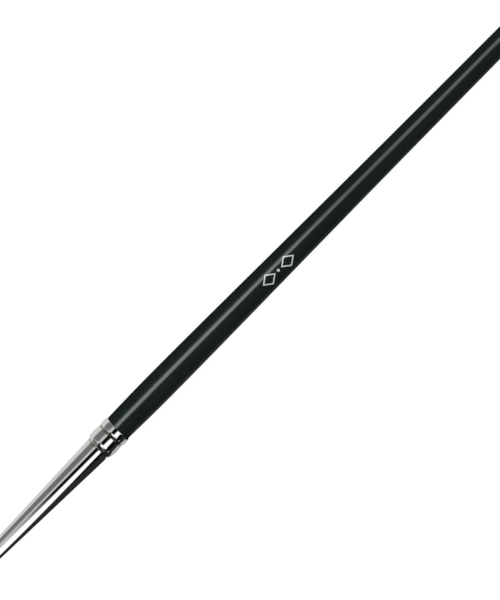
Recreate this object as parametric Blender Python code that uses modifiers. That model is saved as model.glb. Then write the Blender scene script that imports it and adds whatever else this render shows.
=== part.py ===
"""Fine detail brush: a turned wooden handle, a tapered ferrule with two crimped beads, and a pointed tuft.

The brush lies on its side with its axis along +X, the tip of the hair at +X and the butt at -X. Z = 0 is the
surface that it lies on, and X = 0 is halfway along it. Every piece hangs from the empty brush_axis, whose own Z
runs along the brush from the butt to the tip, so each piece is placed by one distance along that axis.
"""

from math import cos, pi, radians, sin

import bpy

MM = 0.001

# Handle. Its length runs from the butt to the shoulder that meets the ferrule, without the tenon.
HANDLE_LENGTH = 146.0 * MM
SHOULDER_DIAMETER = 5.8 * MM
BELLY_DIAMETER = 6.18 * MM
BELLY_TO_SHOULDER = 11.7 * MM
TAIL_DIAMETER = 4.2 * MM  # what the long taper levels out to
TAPER_REACH = 57.0 * MM  # how far behind the belly half of the taper is done
TAPER_POWER = 1.9
BUTT_DOME_LENGTH = 2.4 * MM
BUTT_FLAT_DIAMETER = 1.8 * MM

# Ferrule. It is measured from its rear lip, against the handle, to its mouth.
FERRULE_LENGTH = 36.0 * MM
FERRULE_WALL = 0.25 * MM
MOUTH_DIAMETER = 3.32 * MM
CONE_DIAMETER = 5.36 * MM  # the cone's large end, where the front bead starts
LIP_DIAMETER = 6.04 * MM
REAR_BEAD_LENGTH = 1.98 * MM
REAR_BEAD_DIAMETER = 6.4 * MM
GROOVE_DIAMETER = 5.84 * MM  # the crimp between the two beads
FRONT_BEAD_LENGTH = 3.52 * MM
FRONT_BEAD_DIAMETER = 6.32 * MM
BEAD_FULLNESS = 0.5  # 1 is a plain sine hump, and less is fuller

# Tuft, with the part of it that is hidden in the ferrule.
HAIR_LENGTH = 13.0 * MM  # from the mouth to the tip
HAIR_BELLY_DIAMETER = 3.0 * MM
HAIR_BELLY_TO_MOUTH = 3.6 * MM
HAIR_TIP_DIAMETER = 0.12 * MM
HAIR_TAPER_POWER = 1.6
ROOT_DEPTH = 15.0 * MM  # how far the hair reaches into the ferrule

# Thread that binds the root, and the adhesive behind it.
THREAD_DIAMETER = 0.22 * MM
THREAD_PITCH_GAP = 0.06 * MM  # between one turn and the next
THREAD_TURNS = 7
NECK_SLOPE = 0.5 * MM  # how soon the hair swells again on each side of the thread
PLUG_CUP_DEPTH = 2.6 * MM  # how far the plug reaches forward around the root
PLUG_THICKNESS = 3.0 * MM  # behind the root
AIR_GAP = 4.5 * MM  # between the plug and the tenon
GLUE_LINE = 0.15 * MM  # between the tenon and the cone's bore, both clearances included

# Clearance between any two pieces that are glued or pressed together.
ASSEMBLY_GAP = 0.03 * MM

# Flats around each turned piece. The profile's radii are to the flats, and the corners stand outside them.
SIDES = 24
HALF_STEP = pi / SIDES
THREAD_POINTS_PER_TURN = 12

CONE_START = REAR_BEAD_LENGTH + FRONT_BEAD_LENGTH
TENON_LENGTH = FERRULE_LENGTH - ROOT_DEPTH - ASSEMBLY_GAP - PLUG_THICKNESS - AIR_GAP
BRUSH_LENGTH = HANDLE_LENGTH + ASSEMBLY_GAP + FERRULE_LENGTH + HAIR_LENGTH
AXIS_HEIGHT = max(BELLY_DIAMETER, REAR_BEAD_DIAMETER, FRONT_BEAD_DIAMETER, LIP_DIAMETER) / 2

# Places along the axis, measured from the butt.
LIP_PLACE = HANDLE_LENGTH + ASSEMBLY_GAP
MOUTH_PLACE = LIP_PLACE + FERRULE_LENGTH
ROOT_PLACE = MOUTH_PLACE - ROOT_DEPTH


def between(start, end, share):
    return start + (end - start) * share


def steps(start, end, count):
    """Evenly spaced values from start to end, both included."""
    return [between(start, end, i / count) for i in range(count + 1)]


def clear_scene():
    for obj in list(bpy.data.objects):
        bpy.data.objects.remove(obj)


def new_collection(name):
    collection = bpy.data.collections.new(name)
    bpy.context.scene.collection.children.link(collection)
    return collection


def principled(name, colour, roughness, metallic=0.0):
    material = bpy.data.materials.new(name)
    material.use_nodes = True
    shader = material.node_tree.nodes["Principled BSDF"]
    shader.inputs["Base Color"].default_value = (*colour, 1.0)
    shader.inputs["Roughness"].default_value = roughness
    shader.inputs["Metallic"].default_value = metallic
    return material


def place(obj, collection, axis, along, material):
    """Hangs a piece on the brush axis, its own origin this far from the butt."""
    obj.data.materials.append(material)
    obj.parent = axis
    obj.location = (0.0, 0.0, along)
    collection.objects.link(obj)
    return obj


def turned(name, profile, is_ring=False):
    """A solid of revolution about Z. The profile holds (radius, z), and runs down the outside from the top."""
    corner = 1.0 / cos(HALF_STEP)
    points = [(radius * corner, 0.0, z) for radius, z in profile]
    edges = [(i, i + 1) for i in range(len(points) - 1)]
    if is_ring:
        edges.append((len(points) - 1, 0))
    mesh = bpy.data.meshes.new(name)
    mesh.from_pydata(points, edges, [])
    obj = bpy.data.objects.new(name, mesh)
    obj.rotation_euler = (0.0, 0.0, HALF_STEP)
    turn = obj.modifiers.new("Turn", "SCREW")
    turn.axis = "Z"
    turn.steps = SIDES
    turn.render_steps = SIDES
    turn.use_merge_vertices = True
    turn.merge_threshold = 1e-6
    turn.use_smooth_shade = True
    obj.modifiers.new("Even shading", "WEIGHTED_NORMAL")
    return obj


def handle_radius(along):
    """Radius of the handle at this distance from the butt, ahead of the dome."""
    to_shoulder = HANDLE_LENGTH - along
    if to_shoulder < BELLY_TO_SHOULDER:
        rise = sin(pi / 2 * to_shoulder / BELLY_TO_SHOULDER)
        return between(SHOULDER_DIAMETER, BELLY_DIAMETER, rise) / 2
    behind_belly = to_shoulder - BELLY_TO_SHOULDER
    left = 1.0 / (1.0 + (behind_belly / TAPER_REACH) ** TAPER_POWER)
    return between(TAIL_DIAMETER, BELLY_DIAMETER, left) / 2


def bead_radius(start, end, crest, share):
    """Radius across a bead between two feet. Share is 0 at one foot and 1 at the other, and the crest is midway."""
    foot = between(start, end, share)
    hump = max(sin(pi * share), 0.0) ** BEAD_FULLNESS
    return between(foot, crest, hump)


def ferrule_stations():
    """Distances from the rear lip at which the outside and the bore of the ferrule have a point."""
    rear_bead = [REAR_BEAD_LENGTH * (1 - cos(pi * share)) / 2 for share in steps(0, 1, 4)]
    front_bead = [FRONT_BEAD_LENGTH * (1 - cos(pi * share)) / 2 for share in steps(0, 1, 6)]
    return rear_bead + [REAR_BEAD_LENGTH + distance for distance in front_bead[1:]]


def ferrule_radius(distance):
    """Outer radius of the ferrule at this distance from the rear lip."""
    if distance < REAR_BEAD_LENGTH:
        share = distance / REAR_BEAD_LENGTH
        return bead_radius(LIP_DIAMETER / 2, GROOVE_DIAMETER / 2, REAR_BEAD_DIAMETER / 2, share)
    if distance < CONE_START:
        share = (distance - REAR_BEAD_LENGTH) / FRONT_BEAD_LENGTH
        return bead_radius(GROOVE_DIAMETER / 2, CONE_DIAMETER / 2, FRONT_BEAD_DIAMETER / 2, share)
    return cone_radius(distance)


def cone_radius(distance):
    """Outer radius of the straight cone, carried on under the beads."""
    share = (distance - CONE_START) / (FERRULE_LENGTH - CONE_START)
    return between(CONE_DIAMETER, MOUTH_DIAMETER, share) / 2


def bore_radius(distance):
    return ferrule_radius(distance) - FERRULE_WALL


def tenon_radius(distance):
    """A straight taper that clears the narrowest part of the bore behind the cone."""
    narrowest = min(cone_radius(0.0), GROOVE_DIAMETER / 2, LIP_DIAMETER / 2) - FERRULE_WALL
    front = bore_radius(TENON_LENGTH)
    return between(narrowest, front, distance / TENON_LENGTH) - GLUE_LINE


def make_handle():
    dome_radius = handle_radius(BUTT_DOME_LENGTH)
    flat_radius = BUTT_FLAT_DIAMETER / 2
    tenon_end = HANDLE_LENGTH + TENON_LENGTH
    profile = [(0.0, tenon_end), (tenon_radius(TENON_LENGTH), tenon_end)]
    profile.append((tenon_radius(0.0), HANDLE_LENGTH))
    for along in steps(HANDLE_LENGTH, HANDLE_LENGTH - BELLY_TO_SHOULDER, 5):
        profile.append((handle_radius(along), along))
    for along in steps(HANDLE_LENGTH - BELLY_TO_SHOULDER, BUTT_DOME_LENGTH, 18)[1:]:
        profile.append((handle_radius(along), along))
    for turn in steps(0.0, pi / 2, 2)[1:]:
        radius = between(flat_radius, dome_radius, cos(turn))
        profile.append((radius, BUTT_DOME_LENGTH * (1 - sin(turn))))
    profile.append((0.0, 0.0))
    return turned("handle", profile)


def make_ferrule():
    stations = ferrule_stations() + [FERRULE_LENGTH]
    outside = [(ferrule_radius(distance), distance) for distance in reversed(stations)]
    bore = [(bore_radius(distance), distance) for distance in stations]
    return turned("ferrule", outside + bore, is_ring=True)


def make_tenon_glue():
    """Fills the space between the tenon and the ferrule, out into the hollow of each bead."""
    stations = ferrule_stations() + [TENON_LENGTH]
    outside = [(bore_radius(distance) - ASSEMBLY_GAP, distance) for distance in reversed(stations)]
    inside = [(tenon_radius(distance) + ASSEMBLY_GAP, distance) for distance in (0.0, TENON_LENGTH)]
    return turned("tenon_glue", outside + inside, is_ring=True)


# The pieces at the root share one origin, at the inner end of the hair, with the mouth at z = ROOT_DEPTH.
ROOT_RADIUS = MOUTH_DIAMETER / 2 - FERRULE_WALL - ASSEMBLY_GAP
NECK_RADIUS = ROOT_RADIUS - THREAD_DIAMETER - ASSEMBLY_GAP
THREAD_PITCH = THREAD_DIAMETER + THREAD_PITCH_GAP
THREAD_START = PLUG_CUP_DEPTH + NECK_SLOPE + THREAD_DIAMETER
THREAD_END = THREAD_START + THREAD_PITCH * THREAD_TURNS


def bore_at_root(z):
    return bore_radius(FERRULE_LENGTH - ROOT_DEPTH + z)


def make_hair_tuft():
    """The tuft as one solid: a free point, and a root that the thread pinches to a neck."""
    tip = ROOT_DEPTH + HAIR_LENGTH
    belly = ROOT_DEPTH + HAIR_BELLY_TO_MOUTH
    profile = [(0.0, tip)]
    for share in steps(1.0, 0.0, 8):
        full = 1.0 - share**HAIR_TAPER_POWER
        radius = between(HAIR_TIP_DIAMETER, HAIR_BELLY_DIAMETER, full) / 2
        profile.append((radius, between(belly, tip, share)))
    for share in steps(1.0, 0.0, 3)[1:]:
        radius = between(ROOT_RADIUS, HAIR_BELLY_DIAMETER / 2, sin(pi / 2 * share))
        profile.append((radius, between(ROOT_DEPTH, belly, share)))
    profile.append((ROOT_RADIUS, THREAD_END + THREAD_DIAMETER + NECK_SLOPE))
    profile.append((NECK_RADIUS, THREAD_END + THREAD_DIAMETER))
    profile.append((NECK_RADIUS, THREAD_START - THREAD_DIAMETER))
    profile.append((ROOT_RADIUS, THREAD_START - THREAD_DIAMETER - NECK_SLOPE))
    profile.append((ROOT_RADIUS, 0.0))
    profile.append((0.0, 0.0))
    return turned("hair_tuft", profile)


def make_root_binding():
    """One length of thread, wound around the neck of the root."""
    # The straight runs between the coil's points clear the corners of the faceted neck.
    clear_radius = NECK_RADIUS / cos(HALF_STEP) + ASSEMBLY_GAP + THREAD_DIAMETER / 2
    radius = clear_radius / cos(pi / THREAD_POINTS_PER_TURN)
    curve = bpy.data.curves.new("root_binding", "CURVE")
    curve.dimensions = "3D"
    curve.bevel_depth = THREAD_DIAMETER / 2
    curve.bevel_resolution = 2
    curve.use_fill_caps = True
    spline = curve.splines.new("POLY")
    count = THREAD_TURNS * THREAD_POINTS_PER_TURN
    spline.points.add(count)
    for i, point in enumerate(spline.points):
        angle = 2 * pi * i / THREAD_POINTS_PER_TURN
        z = between(THREAD_START, THREAD_END, i / count)
        point.co = (radius * cos(angle), radius * sin(angle), z, 1.0)
    return bpy.data.objects.new("root_binding", curve)


def make_epoxy_plug():
    """Set adhesive that fills the bore behind the hair and grips the end of the root in a cup."""
    cup_radius = ROOT_RADIUS + ASSEMBLY_GAP
    back = -ASSEMBLY_GAP - PLUG_THICKNESS
    profile = [(0.0, -ASSEMBLY_GAP), (cup_radius, -ASSEMBLY_GAP), (cup_radius, PLUG_CUP_DEPTH)]
    profile.append((bore_at_root(PLUG_CUP_DEPTH) - ASSEMBLY_GAP, PLUG_CUP_DEPTH))
    profile.append((bore_at_root(back) - ASSEMBLY_GAP, back))
    profile.append((0.0, back))
    return turned("epoxy_plug", profile)


clear_scene()
parts = new_collection("fine_detail_brush")

brush_axis = bpy.data.objects.new("brush_axis", None)
brush_axis.location = (-BRUSH_LENGTH / 2, 0.0, AXIS_HEIGHT)
brush_axis.rotation_euler = (0.0, radians(90.0), 0.0)
parts.objects.link(brush_axis)

black_lacquer = principled("black_lacquer", (0.010, 0.014, 0.014), 0.22)
plated_brass = principled("plated_brass", (0.80, 0.80, 0.80), 0.12, metallic=1.0)
brown_hair = principled("brown_hair", (0.16, 0.075, 0.035), 0.55)
cotton_thread = principled("cotton_thread", (0.72, 0.68, 0.58), 0.85)
clear_epoxy = principled("clear_epoxy", (0.62, 0.50, 0.30), 0.25)
wood_glue = principled("wood_glue", (0.78, 0.70, 0.52), 0.45)

place(make_handle(), parts, brush_axis, 0.0, black_lacquer)
place(make_ferrule(), parts, brush_axis, LIP_PLACE, plated_brass)
place(make_tenon_glue(), parts, brush_axis, LIP_PLACE, wood_glue)
place(make_hair_tuft(), parts, brush_axis, ROOT_PLACE, brown_hair)
place(make_root_binding(), parts, brush_axis, ROOT_PLACE, cotton_thread)
place(make_epoxy_plug(), parts, brush_axis, ROOT_PLACE, clear_epoxy)
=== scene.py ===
import random
from math import asin, cos, pi, radians, sin, sqrt

import bmesh
import bpy
from mathutils import Matrix, Vector


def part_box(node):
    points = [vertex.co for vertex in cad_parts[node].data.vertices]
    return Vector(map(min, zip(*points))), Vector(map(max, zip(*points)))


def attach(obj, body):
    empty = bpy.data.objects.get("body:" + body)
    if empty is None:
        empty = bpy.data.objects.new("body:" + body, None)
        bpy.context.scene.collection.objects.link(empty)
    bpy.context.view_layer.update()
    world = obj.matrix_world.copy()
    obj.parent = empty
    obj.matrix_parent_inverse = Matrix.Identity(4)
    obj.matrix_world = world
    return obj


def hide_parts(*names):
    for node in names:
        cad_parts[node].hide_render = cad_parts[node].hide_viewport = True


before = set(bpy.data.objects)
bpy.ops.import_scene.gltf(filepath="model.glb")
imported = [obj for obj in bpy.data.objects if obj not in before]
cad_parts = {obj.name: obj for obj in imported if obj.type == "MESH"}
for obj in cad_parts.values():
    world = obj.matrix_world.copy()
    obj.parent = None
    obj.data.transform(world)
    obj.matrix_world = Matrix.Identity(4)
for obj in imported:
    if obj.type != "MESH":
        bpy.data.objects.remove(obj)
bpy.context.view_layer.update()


# ---- Camera --------------------------------------------------------------------------------------
# It hangs straight over the brush, a little toward the ferrule from its middle, and is turned about its own
# line of sight so that the handle runs from the lower left of the frame to the upper right.

MM = 0.001
AXIS_HEIGHT = sum(corner.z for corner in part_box("ferrule")) / 2
CAMERA_HEIGHT = 350 * MM
CAMERA_X = 11.42 * MM
CAMERA_Y = 0.72 * MM
CAMERA_LENS = 104.13
FRAME_RIGHT = (-0.7039, 0.7103, 0.0)
camera_data = bpy.data.cameras.new("overhead_camera")
camera_data.lens = CAMERA_LENS
camera = bpy.data.objects.new("overhead_camera", camera_data)
bpy.context.scene.collection.objects.link(camera)
across_frame = Vector(FRAME_RIGHT).normalized()
up_frame = Vector((0.0, 0.0, 1.0)).cross(across_frame)
turn = Matrix((across_frame, up_frame, (0.0, 0.0, 1.0))).transposed().to_4x4()
camera.matrix_world = Matrix.Translation((CAMERA_X, CAMERA_Y, AXIS_HEIGHT + CAMERA_HEIGHT)) @ turn
bpy.context.scene.camera = camera
bpy.context.scene.view_settings.view_transform = "Standard"


# ---- Handle --------------------------------------------------------------------------------------
# A straight-grained hardwood stick turned to a long taper, dipped in black gloss lacquer. The tenon at its
# front is left bare, so that the adhesive holds, and the lacquer ends in a soft edge around the shoulder.

HANDLE_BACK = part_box("handle")[0].x
TENON_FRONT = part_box("handle")[1].x
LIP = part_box("ferrule")[0].x
FIT_GAP = 0.03 * MM
SHOULDER = LIP - FIT_GAP
SHOULDER_RADIUS = 2.9 * MM
BELLY_RADIUS = 3.09 * MM
TAIL_RADIUS = 2.1 * MM
BELLY_TO_SHOULDER = 11.7 * MM
TAPER_REACH = 57 * MM
TAPER_POWER = 1.9
DOME_LENGTH = 2.4 * MM
BUTT_FLAT_RADIUS = 0.9 * MM
BUTT_FLAT_RINGS = (0.0, 0.5, 0.92)
BUTT_EDGE = 0.004 * MM
SHOULDER_ROUNDING = 0.09 * MM
TENON_REAR_RADIUS = 2.5115 * MM
TENON_FILLET = 0.05 * MM
TENON_CHAMFER = 0.25 * MM
GLUE_ROOM = 0.15 * MM
HANDLE_SIDES = 144
DOME_RINGS = 20
TAPER_RINGS = 160
ROUNDING_RINGS = 8
TENON_RINGS = 12
# The ferrule that the tenon is turned to fit: its wall, its beads' length, and its straight cone.
WALL = 0.25 * MM
BEADS_LENGTH = 5.5 * MM
CONE_LENGTH = 30.5 * MM
CONE_RADIUS = 2.68 * MM
MOUTH_RADIUS = 1.66 * MM


def between(start, end, share):
    """The value this share of the way from start to end."""
    return start + (end - start) * share


def handle_radius(x):
    """Radius of the lacquered handle at this place along the brush, ahead of the butt's dome."""
    to_shoulder = SHOULDER - x
    if to_shoulder < BELLY_TO_SHOULDER:
        rise = sin(pi / 2 * to_shoulder / BELLY_TO_SHOULDER)
        return between(SHOULDER_RADIUS, BELLY_RADIUS, rise)
    left = 1.0 / (1.0 + ((to_shoulder - BELLY_TO_SHOULDER) / TAPER_REACH) ** TAPER_POWER)
    return between(TAIL_RADIUS, BELLY_RADIUS, left)


def place_piece(name, mesh, sharp_degrees=None):
    """Puts a mesh in the scene, shaded softly except at edges sharper than the angle, where one is given."""
    if sharp_degrees:
        mesh.shade_smooth()
        mesh.set_sharp_from_angle(angle=radians(sharp_degrees))
    piece = bpy.data.objects.new(name, mesh)
    bpy.context.scene.collection.objects.link(piece)
    return piece


def skinned(name, bm, sharp_degrees):
    """Makes a piece of a bmesh that is one or more closed skins."""
    bmesh.ops.recalc_face_normals(bm, faces=bm.faces)
    mesh = bpy.data.meshes.new(name)
    bm.to_mesh(mesh)
    bm.free()
    return place_piece(name, mesh, sharp_degrees)


def turned(name, profile, sides, is_tube=False, unevenness=None):
    """A piece turned about the brush's axis from (x, radius) points, as one closed skin."""
    bm = bmesh.new()
    rings = []
    for x, radius in profile:
        if radius == 0.0:
            rings.append([bm.verts.new((x, 0.0, AXIS_HEIGHT))])
            continue
        ring = []
        for i in range(sides):
            angle = 2 * pi * i / sides
            reach = radius + (unevenness(x, angle) if unevenness else 0.0)
            ring.append(bm.verts.new((x, reach * sin(angle), AXIS_HEIGHT + reach * cos(angle))))
        rings.append(ring)
    pairs = list(zip(rings, rings[1:]))
    if is_tube:
        pairs.append((rings[-1], rings[0]))
    for one, other in pairs:
        for i in range(sides):
            j = (i + 1) % sides
            if len(one) == 1:
                bm.faces.new((one[0], other[i], other[j]))
            elif len(other) == 1:
                bm.faces.new((one[j], one[i], other[0]))
            else:
                bm.faces.new((one[j], one[i], other[i], other[j]))
    return skinned(name, bm, sharp_degrees=50)


def bore_radius_at(x):
    """The straight cone's bore, which the tenon's taper follows."""
    share = (x - LIP - BEADS_LENGTH) / CONE_LENGTH
    return between(CONE_RADIUS, MOUTH_RADIUS, share) - WALL


handle_profile = [(HANDLE_BACK, BUTT_FLAT_RADIUS * share) for share in BUTT_FLAT_RINGS]
taper_start = HANDLE_BACK + DOME_LENGTH
taper_end = SHOULDER - SHOULDER_ROUNDING
for i in range(DOME_RINGS):
    angle = pi / 2 * i / DOME_RINGS
    radius = between(BUTT_FLAT_RADIUS, handle_radius(taper_start), sin(angle))
    handle_profile.append((HANDLE_BACK + DOME_LENGTH * (1 - cos(angle)) + BUTT_EDGE, radius))
for i in range(TAPER_RINGS + 1):
    x = between(taper_start, taper_end, i / TAPER_RINGS)
    handle_profile.append((x, handle_radius(x)))
for i in range(1, ROUNDING_RINGS + 1):
    angle = pi / 2 * i / ROUNDING_RINGS
    x = taper_end + SHOULDER_ROUNDING * sin(angle)
    radius = handle_radius(taper_end) - SHOULDER_ROUNDING * (1 - cos(angle))
    handle_profile.append((x, radius))
handle_profile.append((SHOULDER, TENON_REAR_RADIUS + TENON_FILLET))
handle_profile.append((SHOULDER + TENON_FILLET, TENON_REAR_RADIUS))
tenon_front_radius = bore_radius_at(TENON_FRONT) - GLUE_ROOM
for i in range(1, TENON_RINGS + 1):
    x = between(SHOULDER, TENON_FRONT - TENON_CHAMFER, i / TENON_RINGS)
    handle_profile.append((x, between(TENON_REAR_RADIUS, tenon_front_radius, i / TENON_RINGS)))
handle_profile.append((TENON_FRONT, tenon_front_radius - TENON_CHAMFER))
handle_profile.append((TENON_FRONT, 0.0))
handle = turned("turned_handle", handle_profile, HANDLE_SIDES)


def wire(tree, source, target):
    """Joins one node's output to another node's input, each given as (node, socket)."""
    tree.links.new(source[0].outputs[source[1]], target[0].inputs[target[1]])


def add_node(tree, kind, **settings):
    """A node with its own settings, and fixed values for its inputs by name or number."""
    made = tree.nodes.new("ShaderNode" + kind)
    values = settings.pop("values", {})
    for name, value in settings.items():
        setattr(made, name, value)
    for name, value in values.items():
        made.inputs[name].default_value = value
    return made


def new_effect(name, inputs, outputs):
    """An empty shader group with number inputs and number outputs, and its two end nodes."""
    group = bpy.data.node_groups.new(name, "ShaderNodeTree")
    for socket, start in inputs.items():
        made = group.interface.new_socket(socket, in_out="INPUT", socket_type="NodeSocketFloat")
        made.default_value = start
    for socket in outputs:
        group.interface.new_socket(socket, in_out="OUTPUT", socket_type="NodeSocketFloat")
    return group, group.nodes.new("NodeGroupInput"), group.nodes.new("NodeGroupOutput")


# Hairline scratches that run along the brush, from wiping and from lying in a jar with others.
hairline_scratches, given, result = new_effect(
    "hairline_scratches", {"Spacing": 7000.0, "Depth": 1.0}, ["Mask"]
)
place = add_node(hairline_scratches, "TexCoord")
stretch = add_node(
    hairline_scratches, "Mapping", values={"Scale": (0.03, 1.0, 1.0), "Rotation": (0.0, 0.0, 0.05)}
)
streaks = add_node(hairline_scratches, "TexNoise", values={"Detail": 3.0, "Roughness": 0.6})
narrow = add_node(hairline_scratches, "ValToRGB")
narrow.color_ramp.elements[0].position = 0.60
narrow.color_ramp.elements[1].position = 0.74
patchy = add_node(hairline_scratches, "TexNoise", values={"Scale": 240.0, "Detail": 2.0})
patchy_edge = add_node(hairline_scratches, "MapRange", values={"From Min": 0.42, "From Max": 0.66})
where = add_node(hairline_scratches, "Math", operation="MULTIPLY")
deep = add_node(hairline_scratches, "Math", operation="MULTIPLY")
wire(hairline_scratches, (place, "Object"), (stretch, "Vector"))
wire(hairline_scratches, (stretch, "Vector"), (streaks, "Vector"))
wire(hairline_scratches, (given, "Spacing"), (streaks, "Scale"))
wire(hairline_scratches, (streaks, "Fac"), (narrow, "Fac"))
wire(hairline_scratches, (place, "Object"), (patchy, "Vector"))
wire(hairline_scratches, (patchy, "Fac"), (patchy_edge, "Value"))
wire(hairline_scratches, (narrow, "Color"), (where, 0))
wire(hairline_scratches, (patchy_edge, "Result"), (where, 1))
wire(hairline_scratches, (where, "Value"), (deep, 0))
wire(hairline_scratches, (given, "Depth"), (deep, 1))
wire(hairline_scratches, (deep, "Value"), (result, "Mask"))

# Fine dust and dried specks, thickest in the patches that a cloth misses.
settled_dust, given, result = new_effect("settled_dust", {"Grain": 9000.0, "Amount": 1.0}, ["Mask", "Film"])
place = add_node(settled_dust, "TexCoord")
specks = add_node(settled_dust, "TexVoronoi", feature="F1")
speck_edge = add_node(settled_dust, "MapRange", values={"From Min": 0.16, "From Max": 0.05})
scatter = add_node(settled_dust, "TexNoise", values={"Scale": 420.0, "Detail": 3.0})
scatter_edge = add_node(settled_dust, "MapRange", values={"From Min": 0.5, "From Max": 0.72})
shown = add_node(settled_dust, "Math", operation="MULTIPLY")
amount = add_node(settled_dust, "Math", operation="MULTIPLY")
film = add_node(settled_dust, "TexNoise", values={"Scale": 90.0, "Detail": 4.0, "Roughness": 0.62})
wire(settled_dust, (place, "Object"), (specks, "Vector"))
wire(settled_dust, (given, "Grain"), (specks, "Scale"))
wire(settled_dust, (specks, "Distance"), (speck_edge, "Value"))
wire(settled_dust, (place, "Object"), (scatter, "Vector"))
wire(settled_dust, (scatter, "Fac"), (scatter_edge, "Value"))
wire(settled_dust, (speck_edge, "Result"), (shown, 0))
wire(settled_dust, (scatter_edge, "Result"), (shown, 1))
wire(settled_dust, (shown, "Value"), (amount, 0))
wire(settled_dust, (given, "Amount"), (amount, 1))
wire(settled_dust, (amount, "Value"), (result, "Mask"))
wire(settled_dust, (place, "Object"), (film, "Vector"))
wire(settled_dust, (film, "Fac"), (result, "Film"))

# Long fibres or grain that run along the brush: wood, hair and thread all show them.
long_fibres, given, result = new_effect(
    "long_fibres", {"Fineness": 2500.0, "Length": 0.04}, ["Tone", "Height"]
)
place = add_node(long_fibres, "TexCoord")
split = add_node(long_fibres, "SeparateXYZ")
shorten = add_node(long_fibres, "Math", operation="MULTIPLY")
rejoin = add_node(long_fibres, "CombineXYZ")
coarse = add_node(long_fibres, "TexNoise", values={"Detail": 4.0, "Roughness": 0.6, "Distortion": 0.2})
finer = add_node(long_fibres, "Math", operation="MULTIPLY", values={1: 3.7})
fine = add_node(long_fibres, "TexNoise", values={"Detail": 2.0})
wire(long_fibres, (place, "Object"), (split, "Vector"))
wire(long_fibres, (split, "X"), (shorten, 0))
wire(long_fibres, (given, "Length"), (shorten, 1))
wire(long_fibres, (shorten, "Value"), (rejoin, "X"))
wire(long_fibres, (split, "Y"), (rejoin, "Y"))
wire(long_fibres, (split, "Z"), (rejoin, "Z"))
wire(long_fibres, (rejoin, "Vector"), (coarse, "Vector"))
wire(long_fibres, (given, "Fineness"), (coarse, "Scale"))
wire(long_fibres, (given, "Fineness"), (finer, 0))
wire(long_fibres, (finer, "Value"), (fine, "Scale"))
wire(long_fibres, (rejoin, "Vector"), (fine, "Vector"))
wire(long_fibres, (coarse, "Fac"), (result, "Tone"))
wire(long_fibres, (fine, "Fac"), (result, "Height"))


def new_finish(name, **fixed):
    """A material with its Principled shader, whose constants are given by socket name."""
    material = bpy.data.materials.new(name)
    material.use_nodes = True
    shader = material.node_tree.nodes["Principled BSDF"]
    for socket, value in fixed.items():
        shader.inputs[socket.replace("_", " ")].default_value = value
    return material, material.node_tree, shader


def add_effect(tree, group, **values):
    """Places a shared shader group in a material, with this material's own values."""
    made = tree.nodes.new("ShaderNodeGroup")
    made.node_tree = group
    for name, value in values.items():
        made.inputs[name].default_value = value
    return made


def blend_colours(tree, mask, low, high):
    """Goes from one colour to the other with the mask, and returns where the colour comes out."""
    made = add_node(tree, "Mix", data_type="RGBA")
    made.inputs[6].default_value = (*low, 1.0)
    made.inputs[7].default_value = (*high, 1.0)
    wire(tree, mask, (made, 0))
    return made, 2


def weigh(tree, parts, start=0.0):
    """Adds masks, each times its own weight, to a starting value, and returns where the sum comes out."""
    total = None
    for source, weight in parts:
        step = add_node(tree, "Math", operation="MULTIPLY_ADD", values={1: weight, 2: start})
        wire(tree, source, (step, 0))
        if total:
            wire(tree, total, (step, 2))
        total = (step, 0)
    return total


def raise_surface(tree, shader, height, strength, distance):
    """Feeds a height into the shader's normal through one bump node."""
    bump = add_node(tree, "Bump", values={"Strength": strength, "Distance": distance})
    wire(tree, height, (bump, "Height"))
    wire(tree, (bump, "Normal"), (shader, "Normal"))


black_lacquer, tree, shader = new_finish(
    "black_lacquer", Coat_Weight=1.0, Coat_Roughness=0.18, Coat_IOR=1.5, Specular_IOR_Level=0.0
)
scratches = add_effect(tree, hairline_scratches, Spacing=8000.0, Depth=1.0)
dust = add_effect(tree, settled_dust, Grain=7000.0, Amount=1.0)
grain = add_effect(tree, long_fibres, Fineness=900.0, Length=0.03)
place = add_node(tree, "TexCoord")
orange_peel = add_node(tree, "TexNoise", values={"Scale": 650.0, "Detail": 2.0, "Roughness": 0.5})
brushed_on = add_node(tree, "TexNoise", values={"Scale": 120.0, "Detail": 1.0})
wire(tree, (place, "Object"), (orange_peel, "Vector"))
wire(tree, (place, "Object"), (brushed_on, "Vector"))
depth_of_black = blend_colours(tree, (dust, "Film"), (0.0046, 0.0072, 0.0073), (0.0072, 0.0106, 0.0103))
dusted = add_node(tree, "Mix", data_type="RGBA")
dusted.inputs[7].default_value = (0.055, 0.060, 0.060, 1.0)
dust_share = weigh(tree, [((dust, "Mask"), 0.5), ((scratches, "Mask"), 0.10)])
wire(tree, dust_share, (dusted, 0))
wire(tree, depth_of_black, (dusted, 6))
wire(tree, (dusted, 2), (shader, "Base Color"))
gloss = weigh(tree, [((dust, "Film"), 0.16), ((scratches, "Mask"), 0.16), ((dust, "Mask"), 0.3)], 0.22)
wire(tree, gloss, (shader, "Roughness"))
skin = weigh(
    tree,
    [
        ((orange_peel, "Fac"), 0.5),
        ((brushed_on, "Fac"), 1.2),
        ((grain, "Tone"), 0.35),
        ((scratches, "Mask"), -0.18),
        ((dust, "Mask"), 0.25),
    ],
)
raise_surface(tree, shader, skin, 0.5, 0.008 * MM)

bare_hardwood, tree, shader = new_finish("bare_hardwood", Specular_IOR_Level=0.3)
grain = add_effect(tree, long_fibres, Fineness=1600.0, Length=0.03)
dust = add_effect(tree, settled_dust, Grain=5000.0, Amount=0.6)
wood_tone = blend_colours(tree, (grain, "Tone"), (0.42, 0.27, 0.14), (0.66, 0.48, 0.29))
wire(tree, wood_tone, (shader, "Base Color"))
wire(tree, weigh(tree, [((grain, "Height"), 0.25), ((dust, "Mask"), 0.1)], 0.55), (shader, "Roughness"))
raise_surface(tree, shader, (grain, "Height"), 0.6, 0.02 * MM)

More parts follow.
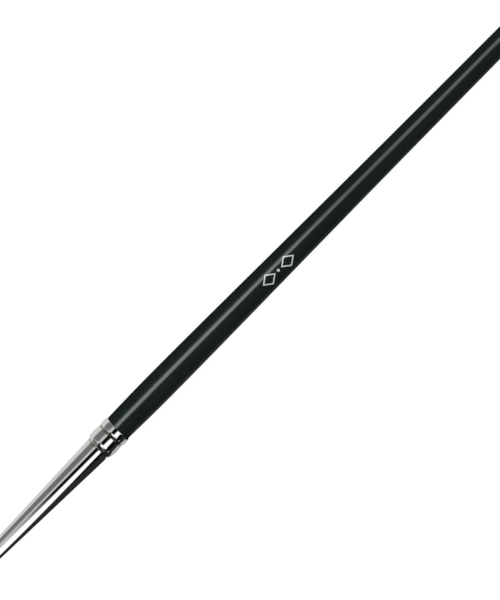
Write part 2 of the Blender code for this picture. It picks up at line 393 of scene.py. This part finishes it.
handle.data.materials.append(black_lacquer)
handle.data.materials.append(bare_hardwood)
for face in handle.data.polygons:
    if face.center.x > SHOULDER + 0.001 * MM:
        face.material_index = 1
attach(handle, "root")
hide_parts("handle")


# ---- Tenon adhesive ------------------------------------------------------------------------------
# Pale woodworker's adhesive between the bare tenon and the ferrule. It has run out into the hollows of the
# beads and has set there, which is what keeps the handle from turning.

set_glue, tree, shader = new_finish("set_wood_glue", Subsurface_Weight=0.15, Subsurface_Scale=0.0005)
dust = add_effect(tree, settled_dust, Grain=4000.0, Amount=1.0)
place = add_node(tree, "TexCoord")
bubbles = add_node(tree, "TexVoronoi", feature="SMOOTH_F1", values={"Scale": 3800.0, "Smoothness": 0.4})
wire(tree, (place, "Object"), (bubbles, "Vector"))
glue_tone = blend_colours(tree, (dust, "Film"), (0.66, 0.56, 0.36), (0.82, 0.75, 0.58))
wire(tree, glue_tone, (shader, "Base Color"))
wire(tree, weigh(tree, [((dust, "Film"), 0.3), ((bubbles, "Distance"), 0.1)], 0.3), (shader, "Roughness"))
raise_surface(tree, shader, (bubbles, "Distance"), 0.5, 0.02 * MM)
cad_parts["tenon_glue"].data.materials.clear()
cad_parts["tenon_glue"].data.materials.append(set_glue)


# ---- Ferrule -------------------------------------------------------------------------------------
# A seamless brass tube, drawn to a taper, plated in bright nickel and polished. After the handle is pushed
# in, two beads are rolled around the tenon to grip it. The rolling leaves them very slightly uneven.

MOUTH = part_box("ferrule")[1].x
LIP_RADIUS = 3.02 * MM
GROOVE = LIP + 1.98 * MM
GROOVE_RADIUS = 2.92 * MM
CONE_START = LIP + BEADS_LENGTH
REAR_BEAD = {"from": LIP, "to": GROOVE, "crest": 3.2 * MM}
FRONT_BEAD = {"from": GROOVE, "to": CONE_START, "crest": 3.16 * MM}
BEAD_FULLNESS = 0.5
BEAD_WAVE = 0.006 * MM
EDGE_ROUNDING = 0.07 * MM
FERRULE_SIDES = 192
BEAD_RINGS = 32
CONE_RINGS = 40
EDGE_RINGS = 6


def bead_radius(bead, start, end, share):
    """Radius across a rolled bead, from one foot to the other."""
    hump = max(sin(pi * share), 0.0) ** BEAD_FULLNESS
    return between(between(start, end, share), bead["crest"], hump)


def rolled_unevenness(x, angle):
    """What the rolling wheels leave on the beads: a few shallow waves around each one."""
    for bead, waves, offset in ((REAR_BEAD, 5, 0.7), (FRONT_BEAD, 4, 2.1)):
        if bead["from"] < x < bead["to"]:
            share = (x - bead["from"]) / (bead["to"] - bead["from"])
            swell = sin(pi * share) ** 2
            wave = sin(waves * angle + offset) + 0.6 * sin((2 * waves + 1) * angle + 3.0 * share)
            return BEAD_WAVE * wave * swell
    return 0.0


bead_points = []
for bead, start, end in (
    (REAR_BEAD, LIP_RADIUS, GROOVE_RADIUS),
    (FRONT_BEAD, GROOVE_RADIUS, CONE_RADIUS),
):
    for i in range(0 if bead is REAR_BEAD else 1, BEAD_RINGS + 1):
        share = (1 - cos(pi * i / BEAD_RINGS)) / 2
        bead_points.append((between(bead["from"], bead["to"], share), bead_radius(bead, start, end, share)))
outside = [(x, radius) for x, radius in bead_points if x > LIP + EDGE_ROUNDING]
inside = [(x, radius - WALL) for x, radius in bead_points]
for i in range(1, CONE_RINGS + 1):
    x = between(CONE_START, MOUTH, i / CONE_RINGS)
    radius = between(CONE_RADIUS, MOUTH_RADIUS, i / CONE_RINGS)
    if x < MOUTH - EDGE_ROUNDING:
        outside.append((x, radius))
    inside.append((x, radius - WALL))
quarter_turn = [pi / 2 * i / EDGE_RINGS for i in range(EDGE_RINGS + 1)]
mouth_edge = [
    (MOUTH - EDGE_ROUNDING * (1 - sin(a)), MOUTH_RADIUS - EDGE_ROUNDING * (1 - cos(a))) for a in quarter_turn
]
lip_edge = [
    (LIP + EDGE_ROUNDING * (1 - cos(a)), LIP_RADIUS - EDGE_ROUNDING * (1 - sin(a))) for a in quarter_turn
]
ferrule_profile = lip_edge + outside + mouth_edge + inside[::-1]
ferrule = turned("crimped_ferrule", ferrule_profile, FERRULE_SIDES, True, rolled_unevenness)

bright_nickel, tree, shader = new_finish("bright_nickel_plate", Metallic=1.0)
scratches = add_effect(tree, hairline_scratches, Spacing=12000.0, Depth=1.0)
dust = add_effect(tree, settled_dust, Grain=8000.0, Amount=1.0)
draw_lines = add_effect(tree, long_fibres, Fineness=5200.0, Length=0.015)
nickel = blend_colours(tree, (dust, "Film"), (0.83, 0.82, 0.80), (0.90, 0.895, 0.885))
tarnish = add_node(tree, "Mix", data_type="RGBA")
tarnish.inputs[7].default_value = (0.50, 0.47, 0.42, 1.0)
wire(tree, weigh(tree, [((dust, "Mask"), 0.35), ((scratches, "Mask"), 0.12)]), (tarnish, 0))
wire(tree, nickel, (tarnish, 6))
# Painted shade: the plating's colour is darkened in the groove between the beads and at the foot of the
# front bead, where these hollows lie in shade. The darkening fades out from the core of each hollow.
GROOVE_SHADE_CORE = 0.10 * MM
GROOVE_SHADE_REACH = 0.42 * MM
place = add_node(tree, "TexCoord")
split = add_node(tree, "SeparateXYZ")
wire(tree, (place, "Object"), (split, "Vector"))
plated_colour = (tarnish, 2)
for x, shade_colour in ((GROOVE, (0.42, 0.40, 0.37)), (CONE_START, (0.52, 0.50, 0.46))):
    from_groove = add_node(tree, "Math", operation="SUBTRACT", values={1: x})
    distance = add_node(tree, "Math", operation="ABSOLUTE")
    in_painted_shade = add_node(tree, "MapRange", interpolation_type="SMOOTHSTEP")
    in_painted_shade.inputs["From Min"].default_value = GROOVE_SHADE_REACH
    in_painted_shade.inputs["From Max"].default_value = GROOVE_SHADE_CORE
    painted_shade = add_node(tree, "Mix", data_type="RGBA")
    painted_shade.inputs[7].default_value = (*shade_colour, 1.0)
    wire(tree, (split, "X"), (from_groove, 0))
    wire(tree, (from_groove, "Value"), (distance, 0))
    wire(tree, (distance, "Value"), (in_painted_shade, "Value"))
    wire(tree, (in_painted_shade, "Result"), (painted_shade, 0))
    wire(tree, plated_colour, (painted_shade, 6))
    plated_colour = (painted_shade, 2)
wire(tree, plated_colour, (shader, "Base Color"))
polish = weigh(
    tree,
    [
        ((dust, "Film"), 0.03),
        ((scratches, "Mask"), 0.10),
        ((draw_lines, "Height"), 0.02),
        ((dust, "Mask"), 0.3),
    ],
    0.02,
)
wire(tree, polish, (shader, "Roughness"))
drawn = weigh(tree, [((draw_lines, "Height"), 0.5), ((scratches, "Mask"), -0.5), ((dust, "Film"), 1.0)])
raise_surface(tree, shader, drawn, 0.35, 0.0015 * MM)
ferrule.data.materials.append(bright_nickel)
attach(ferrule, "root")
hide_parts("ferrule")


# ---- Root adhesive -------------------------------------------------------------------------------
# Epoxy that is dropped into the ferrule behind the hair. It wicks a little way in around the root and sets
# clear amber, with small bubbles.

clear_epoxy, tree, shader = new_finish(
    "set_epoxy", Transmission_Weight=0.35, IOR=1.54, Specular_IOR_Level=0.5
)
dust = add_effect(tree, settled_dust, Grain=6000.0, Amount=1.0)
place = add_node(tree, "TexCoord")
bubbles = add_node(tree, "TexVoronoi", feature="SMOOTH_F1", values={"Scale": 5200.0, "Smoothness": 0.3})
wire(tree, (place, "Object"), (bubbles, "Vector"))
epoxy_tone = blend_colours(tree, (dust, "Film"), (0.52, 0.38, 0.18), (0.74, 0.62, 0.38))
wire(tree, epoxy_tone, (shader, "Base Color"))
wire(tree, weigh(tree, [((dust, "Film"), 0.2), ((bubbles, "Distance"), 0.1)], 0.12), (shader, "Roughness"))
raise_surface(tree, shader, (bubbles, "Distance"), 0.4, 0.015 * MM)
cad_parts["epoxy_plug"].data.materials.clear()
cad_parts["epoxy_plug"].data.materials.append(clear_epoxy)


# ---- Root binding --------------------------------------------------------------------------------
# Waxed cotton thread, wound tightly around the root before the hair is pulled through the ferrule from
# behind.

waxed_cotton, tree, shader = new_finish("waxed_cotton", Sheen_Weight=0.3, Sheen_Roughness=0.5)
twist = add_effect(tree, long_fibres, Fineness=9000.0, Length=0.5)
dust = add_effect(tree, settled_dust, Grain=9000.0, Amount=0.6)
cotton_tone = blend_colours(tree, (twist, "Tone"), (0.52, 0.46, 0.35), (0.78, 0.74, 0.64))
wire(tree, cotton_tone, (shader, "Base Color"))
wire(tree, weigh(tree, [((twist, "Height"), 0.3), ((dust, "Mask"), 0.1)], 0.6), (shader, "Roughness"))
raise_surface(tree, shader, (twist, "Height"), 0.8, 0.03 * MM)
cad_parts["root_binding"].data.materials.clear()
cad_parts["root_binding"].data.materials.append(waxed_cotton)


# ---- Hair tuft -----------------------------------------------------------------------------------
# Several hundred tapered brown hairs, cupped to a point and tied at the root. They reach 15 mm into the
# ferrule, where the thread pinches them to a neck, and swell to a belly just ahead of the mouth.

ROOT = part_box("hair_tuft")[0].x
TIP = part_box("hair_tuft")[1].x
HAIR_COUNT = 640
HAIR_SIDES = 5
HAIR_RADIUS = 0.050 * MM
BUNDLE_BELLY = 1.5 * MM
BUNDLE_ROOT = 1.38 * MM
BUNDLE_NECK = 1.13 * MM
BUNDLE_POINT = 0.06 * MM
BELLY_PLACE = MOUTH + 3.6 * MM
NECK_FROM = ROOT + 3.1 * MM
NECK_TO = ROOT + 5.5 * MM
NECK_SLOPE = 0.5 * MM
MOUTH_RELIEF = 1.5 * MM
FREE_STEPS = 13
GOLDEN_ANGLE = 2.399963
GREATEST_SHORTFALL = 0.26
GREATEST_BOW = 0.018 * MM
OUTER_HAIRS = 60
STRAY_CHANCE = 0.10
POINT_THINNING = 0.93
HAIR_SEED = 11


def bundle_radius(x):
    """Radius of the whole bundle: root, tied neck, belly and point."""
    if x > BELLY_PLACE:
        share = (x - BELLY_PLACE) / (TIP - BELLY_PLACE)
        return between(BUNDLE_POINT, BUNDLE_BELLY, 1 - share**1.6)
    if x > MOUTH:
        return between(BUNDLE_ROOT, BUNDLE_BELLY, sin(pi / 2 * (x - MOUTH) / (BELLY_PLACE - MOUTH)))
    if NECK_FROM <= x <= NECK_TO:
        return BUNDLE_NECK
    return BUNDLE_ROOT


root_places = [
    ROOT,
    NECK_FROM - NECK_SLOPE,
    NECK_FROM,
    NECK_TO,
    NECK_TO + NECK_SLOPE,
    MOUTH - MOUTH_RELIEF,
    MOUTH,
]
draw = random.Random(HAIR_SEED)
verts = []
faces = []
for h in range(HAIR_COUNT):
    reach = sqrt((h + 0.5) / HAIR_COUNT)
    angle = h * GOLDEN_ANGLE + draw.uniform(-0.05, 0.05)
    end_share = 1.0 - GREATEST_SHORTFALL * reach * draw.uniform(0.25, 1.0) ** 1.2
    hair_end = between(MOUTH, TIP, end_share)
    bow = draw.uniform(-GREATEST_BOW, GREATEST_BOW)
    bow_turn = draw.uniform(0.0, 2 * pi)
    bows = draw.uniform(0.8, 2.2)
    thickness = draw.uniform(0.85, 1.1)
    is_stray = h > HAIR_COUNT - OUTER_HAIRS and draw.random() < STRAY_CHANCE
    stray = draw.uniform(0.08, 0.2) * MM if is_stray else 0.0
    places = root_places + [between(MOUTH, hair_end, i / FREE_STEPS) for i in range(1, FREE_STEPS + 1)]
    first = len(verts)
    for x in places:
        free = max(x - MOUTH, 0.0) / (TIP - MOUTH)
        along = max(x - MOUTH, 0.0) / (hair_end - MOUTH)
        thick = HAIR_RADIUS * thickness * (1.0 - POINT_THINNING * along**2.6)
        bundle = bundle_radius(x)
        if x < MOUTH:
            thick *= bundle / BUNDLE_ROOT
        out = reach * max(bundle - thick, 0.0) + stray * free**1.5
        sway = bow * sin(pi * bows * free) * min(1.0, bundle / BUNDLE_ROOT)
        y = out * cos(angle) + sway * cos(bow_turn)
        z = out * sin(angle) + sway * sin(bow_turn)
        for i in range(HAIR_SIDES):
            a = 2 * pi * i / HAIR_SIDES + angle
            verts.append((x, y + thick * cos(a), AXIS_HEIGHT + z + thick * sin(a)))
    rings = len(places)
    for r in range(rings - 1):
        for i in range(HAIR_SIDES):
            j = (i + 1) % HAIR_SIDES
            a = first + r * HAIR_SIDES
            faces.append((a + i, a + j, a + HAIR_SIDES + j, a + HAIR_SIDES + i))
    faces.append(tuple(first + i for i in reversed(range(HAIR_SIDES))))
    faces.append(tuple(first + (rings - 1) * HAIR_SIDES + i for i in range(HAIR_SIDES)))
hair_mesh = bpy.data.meshes.new("hair_bundle")
hair_mesh.from_pydata(verts, [], faces)
hair = place_piece("hair_bundle", hair_mesh, sharp_degrees=80)

brown_hair, tree, shader = new_finish("brown_hair", Specular_IOR_Level=0.6, Sheen_Weight=0.1)
strands = add_effect(tree, long_fibres, Fineness=9500.0, Length=0.006)
dust = add_effect(tree, settled_dust, Grain=9000.0, Amount=0.3)
place = add_node(tree, "TexCoord")
split = add_node(tree, "SeparateXYZ")
toward_tip = add_node(tree, "MapRange", values={"From Min": MOUTH, "From Max": TIP})
wire(tree, (place, "Object"), (split, "Vector"))
wire(tree, (split, "X"), (toward_tip, "Value"))
spread = add_node(tree, "MapRange", values={"From Min": 0.3, "From Max": 0.7})
wire(tree, (strands, "Tone"), (spread, "Value"))
root_colour = blend_colours(tree, (spread, "Result"), (0.085, 0.036, 0.014), (0.30, 0.145, 0.060))
tip_colour = blend_colours(tree, (spread, "Result"), (0.050, 0.022, 0.010), (0.170, 0.080, 0.035))
whole = add_node(tree, "Mix", data_type="RGBA")
wire(tree, (toward_tip, "Result"), (whole, 0))
wire(tree, root_colour, (whole, 6))
wire(tree, tip_colour, (whole, 7))
wire(tree, (whole, 2), (shader, "Base Color"))
wire(tree, weigh(tree, [((strands, "Height"), 0.25), ((dust, "Mask"), 0.2)], 0.25), (shader, "Roughness"))
raise_surface(tree, shader, (strands, "Height"), 0.4, 0.008 * MM)
hair_mesh.materials.append(brown_hair)
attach(hair, "root")
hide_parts("hair_tuft")


# ---- Foil mark -----------------------------------------------------------------------------------
# A plain silver mark hot-stamped onto the lacquer: two open lozenges with a dot between them. The foil
# stands about two hundredths of a millimetre proud and follows the curve of the handle.

MARK_CENTRE = 3.2 * MM
MARK_OFFSET = 0.55 * MM
FOIL_PROUD = 0.018 * MM
FOIL_SUNK = 0.012 * MM
STROKE = 0.25 * MM
LOZENGE_PLACES = (-2.6 * MM, 2.6 * MM)
LOZENGE_LENGTH = 1.8 * MM
LOZENGE_WIDTH = 1.32 * MM
DOT_RADIUS = 0.3 * MM
DOT_HOLE = 0.02
DOT_SIDES = 32


def on_handle(along, across, lift):
    """A point on the handle's upper side, this far along and across the mark, lifted off the lacquer."""
    x = MARK_CENTRE + along
    radius = handle_radius(x)
    angle = asin((MARK_OFFSET + across) / radius)
    return x, (radius + lift) * sin(angle), AXIS_HEIGHT + (radius + lift) * cos(angle)


def stamped_band(bm, outer, inner):
    """A closed band of foil between two outlines that have the same number of points."""
    count = len(outer)
    rows = []
    low_and_high = (-FOIL_SUNK, FOIL_PROUD)
    for outline, lifts in ((outer, low_and_high), (inner, low_and_high[::-1])):
        for lift in lifts:
            rows.append([bm.verts.new(on_handle(a, c, lift)) for a, c in outline])
    for row, following in zip(rows, rows[1:] + rows[:1]):
        for i in range(count):
            j = (i + 1) % count
            bm.faces.new((row[i], row[j], following[j], following[i]))


def lozenge(centre, half_length, half_width, per_side=16):
    """Points around a lozenge whose long diagonal runs along the brush."""
    corners = [(half_length, 0.0), (0.0, half_width), (-half_length, 0.0), (0.0, -half_width)]
    points = []
    for (a, c), (a_next, c_next) in zip(corners, corners[1:] + corners[:1]):
        for i in range(per_side):
            points.append((centre + between(a, a_next, i / per_side), between(c, c_next, i / per_side)))
    return points


bm = bmesh.new()
slant = sqrt(LOZENGE_LENGTH**2 + LOZENGE_WIDTH**2)
inner_length = LOZENGE_LENGTH - STROKE * slant / LOZENGE_WIDTH
inner_width = LOZENGE_WIDTH - STROKE * slant / LOZENGE_LENGTH
for centre in LOZENGE_PLACES:
    outer = lozenge(centre, LOZENGE_LENGTH, LOZENGE_WIDTH)
    stamped_band(bm, outer, lozenge(centre, inner_length, inner_width))
dot_angles = [2 * pi * i / DOT_SIDES for i in range(DOT_SIDES)]
dot = [(DOT_RADIUS * cos(angle), DOT_RADIUS * sin(angle)) for angle in dot_angles]
stamped_band(bm, dot, [(a * DOT_HOLE, c * DOT_HOLE) for a, c in dot])
mark = skinned("foil_mark", bm, sharp_degrees=40)
silver_foil, tree, shader = new_finish("silver_foil", Metallic=0.15, Coat_Weight=0.2, Coat_Roughness=0.3)
scratches = add_effect(tree, hairline_scratches, Spacing=9000.0, Depth=1.0)
dust = add_effect(tree, settled_dust, Grain=9000.0, Amount=1.0)
foil_tone = blend_colours(tree, (dust, "Film"), (0.32, 0.335, 0.335), (0.45, 0.465, 0.46))
wire(tree, foil_tone, (shader, "Base Color"))
wire(tree, weigh(tree, [((dust, "Film"), 0.2), ((scratches, "Mask"), 0.2)], 0.35), (shader, "Roughness"))
raise_surface(tree, shader, (dust, "Film"), 0.3, 0.004 * MM)
mark.data.materials.append(silver_foil)
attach(mark, "root")


# ---- Floor ---------------------------------------------------------------------------------------
# A plain white table, lit so evenly that only a faint shadow is left where the brush touches it.

FLOOR_REACH = 1.6
FLOOR_GLOW = 0.84


def staged_sheet(name, points, faces):
    """A thin sheet that is kept out of the object."""
    mesh = bpy.data.meshes.new(name)
    mesh.from_pydata(points, [], faces)
    sheet = place_piece(name, mesh)
    return sheet


def flat_sheet(name, x_from, x_to, y_from, y_to, z):
    """A rectangle at one height."""
    corners = [(x_from, y_from, z), (x_to, y_from, z), (x_to, y_to, z), (x_from, y_to, z)]
    return staged_sheet(name, corners, [(0, 1, 2, 3)])


floor = flat_sheet("white_table", -FLOOR_REACH, FLOOR_REACH, -FLOOR_REACH, FLOOR_REACH, 0.0)
white_table, tree, shader = new_finish("white_table", Roughness=0.8, Specular_IOR_Level=0.1)
shader.inputs["Base Color"].default_value = (0.26, 0.26, 0.26, 1.0)
shader.inputs["Emission Color"].default_value = (1.0, 1.0, 1.0, 1.0)
shader.inputs["Emission Strength"].default_value = FLOOR_GLOW
floor.data.materials.append(white_table)
floor.visible_glossy = False


# ---- Light ---------------------------------------------------------------------------------------
# An even white room for the soft light, a hood of pale and dark cards over the ferrule, more cards on the
# table and at the hood's ends, and three soft strips for the handle. Only reflections see the cards, and the
# camera doesn't see the strips.

ROOM_STRENGTH = 1.0
ROOM_IN_GLOSS = 0.07
world = bpy.data.worlds.new("even_room")
world.use_nodes = True
bpy.context.scene.world = world
tree = world.node_tree
room = tree.nodes["Background"]
room.inputs["Color"].default_value = (1.0, 1.0, 1.0, 1.0)
room.inputs["Strength"].default_value = ROOM_STRENGTH
dim_room = add_node(tree, "Background", values={"Color": (0.95, 1.0, 1.0, 1.0), "Strength": ROOM_IN_GLOSS})
sight = add_node(tree, "LightPath")
choose = add_node(tree, "MixShader")
wire(tree, (sight, "Is Glossy Ray"), (choose, 0))
wire(tree, (room, "Background"), (choose, 1))
wire(tree, (dim_room, "Background"), (choose, 2))
wire(tree, (choose, "Shader"), (tree.nodes["World Output"], "Surface"))


def lit_only(light, *pieces):
    """Lets a light fall on these pieces and on nothing else."""
    chosen = bpy.data.collections.new("lit_by_" + light.name)
    for piece in pieces:
        chosen.objects.link(piece)
    light.light_linking.receiver_collection = chosen


def glowing_card(card, strength, *pieces):
    """Makes a sheet glow, but only in these pieces' reflections, and returns its nodes and its glow."""
    card.visible_camera = False
    card.visible_diffuse = False
    card.visible_shadow = False
    card.visible_transmission = False
    card.visible_volume_scatter = False
    lit_only(card, *pieces)
    material = bpy.data.materials.new(card.name)
    material.use_nodes = True
    tree = material.node_tree
    tree.nodes.remove(tree.nodes["Principled BSDF"])
    glow = add_node(tree, "Emission", values={"Strength": strength})
    wire(tree, (glow, "Emission"), (tree.nodes["Material Output"], "Surface"))
    material.cycles.emission_sampling = "NONE"
    card.data.materials.append(material)
    return tree, glow


def bent_sheet(name, radius, first_degrees, last_degrees, steps, x_from, x_to):
    """A sheet bent around the brush's axis, in degrees from straight up."""
    points = []
    for i in range(steps + 1):
        angle = radians(between(first_degrees, last_degrees, i / steps))
        for x in (x_from, x_to):
            points.append((x, radius * sin(angle), AXIS_HEIGHT + radius * cos(angle)))
    return staged_sheet(name, points, [(2 * i, 2 * i + 1, 2 * i + 3, 2 * i + 2) for i in range(steps)])


HOOD_RADIUS = 500 * MM
HOOD_FROM = -0.8
HOOD_TO = 1.5
HOOD_DEGREES = 100
HOOD_STEPS = 64
hood = bent_sheet("card_hood", HOOD_RADIUS, -HOOD_DEGREES, HOOD_DEGREES, HOOD_STEPS, HOOD_FROM, HOOD_TO)
tree, glow = glowing_card(hood, 1.0, ferrule)
place = add_node(tree, "TexCoord")
split = add_node(tree, "SeparateXYZ")
around = add_node(tree, "Math", operation="ARCTAN2")
as_share = add_node(tree, "MapRange")
as_share.inputs["From Min"].default_value = radians(-HOOD_DEGREES)
as_share.inputs["From Max"].default_value = radians(HOOD_DEGREES)
wire(tree, (place, "Object"), (split, "Vector"))
wire(tree, (split, "Y"), (around, 0))
wire(tree, (split, "Z"), (around, 1))
wire(tree, (around, "Value"), (as_share, "Value"))
# Degrees around the brush from straight up, positive toward +Y, and how bright the card is there.
CARD_STRENGTH = 1.5
UNLIT = 0.004
slotted_cards = [
    (-100, 0.66), (-90, 0.46), (-82, 0.22), (-74, 0.17), (-48, 0.175), (-38, 0.21), (-29, 0.50),
    (-22, 0.80), (-19, 0.62), (-14, 0.12), (-11, UNLIT), (8, UNLIT), (12.5, 0.12), (18.5, 0.90),
    (22, 1.35), (100, 1.35),
]
unslotted_cards = [
    (-100, 0.70), (-90, 0.50), (-82, 0.24), (-74, 0.165), (-52, 0.165), (-38, 0.34), (-24, 0.55),
    (-4, 0.62), (8, 0.72), (16, 1.0), (24, 1.35), (100, 1.35),
]
narrow_cards = [
    (-100, 0.66), (-90, 0.46), (-82, 0.25), (-70, 0.26), (-50, 0.28), (-40, 0.48), (-34, 0.72),
    (-28, 0.60), (-20, 0.12), (-16, 0.03), (-10, 0.02), (-6, 0.10), (0, 0.80), (6, 1.25), (14, 1.30),
    (22, 0.95), (30, 0.50), (38, 0.25), (46, 0.08), (52, 0.02), (60, UNLIT), (73, 0.03), (85, 0.028),
    (100, 0.02),
]
end_cards = [
    (-100, 0.66), (-90, 0.46), (-82, 0.22), (-74, 0.16), (-60, 0.16), (-48, 0.19), (-36, 0.26),
    (-28, 0.22), (-22, 0.12), (-14, 0.015), (-10, UNLIT), (14, UNLIT), (20, 0.02), (28, 0.05),
    (45, 0.07), (56, 0.08), (66, 0.05), (76, UNLIT), (100, UNLIT),
]
past_the_white = [(-100, UNLIT), (68, UNLIT), (79, 0.03), (88, 0.028), (100, 0.02)]
# How many degrees round the white cards reach, at each place along the hood in metres. They are narrowest
# near the ferrule and reach right round toward both ends.
WIDEST = 90
card_edge = [
    (HOOD_FROM, WIDEST), (-0.3, WIDEST), (-0.1, 42.5), (0.15, 42.5), (0.202, 79), (0.22, 82),
    (0.236, WIDEST), (HOOD_TO, WIDEST),
]


def card_ramp(tree, stops, low, high, scale):
    """A ramp through (place, brightness) stops."""
    ramp = add_node(tree, "ValToRGB")
    ramp.color_ramp.elements.remove(ramp.color_ramp.elements[1])
    for i, (position, strength) in enumerate(stops):
        share = (position - low) / (high - low)
        stop = ramp.color_ramp.elements[0] if i == 0 else ramp.color_ramp.elements.new(share)
        stop.position = share
        stop.color = (strength / scale,) * 3 + (1.0,)
    return ramp


def around_ramp(tree, stops):
    """One set of cards around the hood, and where its brightness comes out."""
    ramp = card_ramp(tree, stops, -HOOD_DEGREES, HOOD_DEGREES, CARD_STRENGTH)
    wire(tree, (as_share, "Result"), (ramp, "Fac"))
    return ramp, "Color"


# From the handle's end toward the mouth, each set of cards fades into the next between two places in metres.
cards_so_far = around_ramp(tree, end_cards)
for fade_from, fade_to, cards in (
    (-0.30, -0.10, slotted_cards),
    (0.178, 0.219, unslotted_cards),
    (0.220, 0.236, narrow_cards),
    (0.29, 0.36, end_cards),
):
    fade = add_node(tree, "MapRange", interpolation_type="SMOOTHSTEP")
    fade.inputs["From Min"].default_value = fade_from
    fade.inputs["From Max"].default_value = fade_to
    joined = add_node(tree, "Mix", data_type="RGBA")
    wire(tree, (split, "X"), (fade, "Value"))
    wire(tree, (fade, "Result"), (joined, 0))
    wire(tree, cards_so_far, (joined, 6))
    wire(tree, around_ramp(tree, cards), (joined, 7))
    cards_so_far = (joined, 2)
along_share = add_node(tree, "MapRange", values={"From Min": HOOD_FROM, "From Max": HOOD_TO})
edge_share = card_ramp(tree, card_edge, HOOD_FROM, HOOD_TO, WIDEST)
edge = add_node(tree, "Math", operation="MULTIPLY", values={1: radians(WIDEST)})
past_edge = add_node(tree, "Math", operation="SUBTRACT")
EDGE_SOFTNESS = radians(5)
inside_edge = add_node(tree, "MapRange", interpolation_type="SMOOTHSTEP")
inside_edge.inputs["From Min"].default_value = EDGE_SOFTNESS
inside_edge.inputs["From Max"].default_value = -EDGE_SOFTNESS
bounded = add_node(tree, "Mix", data_type="RGBA")
scaled = add_node(tree, "Math", operation="MULTIPLY", values={1: CARD_STRENGTH})
wire(tree, (split, "X"), (along_share, "Value"))
wire(tree, (along_share, "Result"), (edge_share, "Fac"))
wire(tree, (edge_share, "Color"), (edge, 0))
wire(tree, (around, "Value"), (past_edge, 0))
wire(tree, (edge, "Value"), (past_edge, 1))
wire(tree, (past_edge, "Value"), (inside_edge, "Value"))
wire(tree, (inside_edge, "Result"), (bounded, 0))
wire(tree, around_ramp(tree, past_the_white), (bounded, 6))
wire(tree, cards_so_far, (bounded, 7))
wire(tree, (bounded, 2), (scaled, 0))
wire(tree, (scaled, "Value"), (glow, "Strength"))

# Cards on the table. The plating sees a bright one on one side of it and a dark one on the other, where only
# the beads catch a little light. A narrow dim one gives the lacquer its faint rim on that side. Each: its
# name, its reach along and across the brush and its height, in metres, its strength and the piece it lights.
TABLE_FROM = -0.6
TABLE_TO = 0.9
for name, x_from, x_to, y_from, y_to, z, strength, piece in (
    ("table_bright_side", TABLE_FROM, TABLE_TO, -0.8, 0.0, 0.02 * MM, 0.70, ferrule),
    ("table_by_the_beads", LIP - 3 * MM, LIP + 6.8 * MM, 0.0, 0.02, 0.03 * MM, 0.50, ferrule),
    ("table_dark_side", TABLE_FROM, TABLE_TO, 0.0, 0.8, 0.02 * MM, 0.022, ferrule),
    ("table_by_the_handle", HANDLE_BACK, LIP, 0.0, 0.018, 0.04 * MM, 0.14, handle),
):
    glowing_card(flat_sheet(name, x_from, x_to, y_from, y_to, z), strength, piece)

# The open ends of the hood are closed by two tall cards, shaded from light to dark, which the metal and the
# lacquer catch when they are seen along the brush.
END_CARD_BOTTOM = 0.05 * MM
END_CARD_TOP = AXIS_HEIGHT + HOOD_RADIUS
for name, x in (("handle_end_card", HOOD_FROM), ("mouth_end_card", HOOD_TO)):
    corners = [
        (x, -HOOD_RADIUS, END_CARD_BOTTOM),
        (x, HOOD_RADIUS, END_CARD_BOTTOM),
        (x, HOOD_RADIUS, END_CARD_TOP),
        (x, -HOOD_RADIUS, END_CARD_TOP),
    ]
    end_card = staged_sheet(name, corners, [(0, 1, 2, 3)])
    tree, glow = glowing_card(end_card, 1.0, ferrule, handle)
    place = add_node(tree, "TexCoord")
    split = add_node(tree, "SeparateXYZ")
    shade = add_node(
        tree,
        "MapRange",
        values={"From Min": -0.12, "From Max": 0.20, "To Min": 0.85, "To Max": 0.05},
    )
    wire(tree, (place, "Object"), (split, "Vector"))
    wire(tree, (split, "Y"), (shade, "Value"))
    wire(tree, (shade, "Result"), (glow, "Strength"))

# A black flag close to the brush keeps the white off the flanks of the beads that face the mouth.
FLAG_RADIUS = 30 * MM
FLAG_DEGREES = (45, 72)
FLAG_STEPS = 8
FLAG_FROM = LIP - 0.5 * MM
FLAG_TO = LIP + 14.5 * MM
flag = bent_sheet("bead_flag", FLAG_RADIUS, *FLAG_DEGREES, FLAG_STEPS, FLAG_FROM, FLAG_TO)
glowing_card(flag, UNLIT, ferrule)

# Each strip: its name, where it starts and ends along the brush in metres, the degrees that it leans from
# straight up, its width in metres and its power. The second is a dim spill beside the first, and the third
# lights the tail.
STRIP_RADIUS = 440 * MM
STRIP_SLANT = 0.27
SLANT_CENTRE = -0.04
STRIP_COLOUR = (0.92, 1.0, 1.0)
for name, start, end, degrees, width, power in (
    ("handle_strip", -0.06, 0.70, 24.5, 0.165, 1.95),
    ("handle_spill", -0.06, 0.70, 40, 0.11, 0.28),
    ("tail_strip", -0.46, -0.06, 21, 0.24, 0.76),
):
    strip_data = bpy.data.lights.new(name, "AREA")
    strip_data.shape = "RECTANGLE"
    strip_data.size = end - start
    strip_data.size_y = width
    strip_data.energy = power
    strip_data.color = STRIP_COLOUR
    strip = bpy.data.objects.new(name, strip_data)
    bpy.context.scene.collection.objects.link(strip)
    outward = Vector((0.0, -sin(radians(degrees)), cos(radians(degrees))))
    strip_run = Vector((1.0, STRIP_SLANT * outward.z, -STRIP_SLANT * outward.y))
    strip_long = strip_run.normalized()
    strip_wide = outward.cross(strip_long).normalized()
    strip_turn = Matrix((strip_long, strip_wide, strip_long.cross(strip_wide))).transposed().to_4x4()
    strip_middle = Vector((SLANT_CENTRE, 0.0, AXIS_HEIGHT)) + outward * STRIP_RADIUS
    strip_middle += strip_run * ((start + end) / 2 - SLANT_CENTRE)
    strip.matrix_world = Matrix.Translation(strip_middle) @ strip_turn
    strip.visible_camera = False
    lit_only(strip, handle, mark)
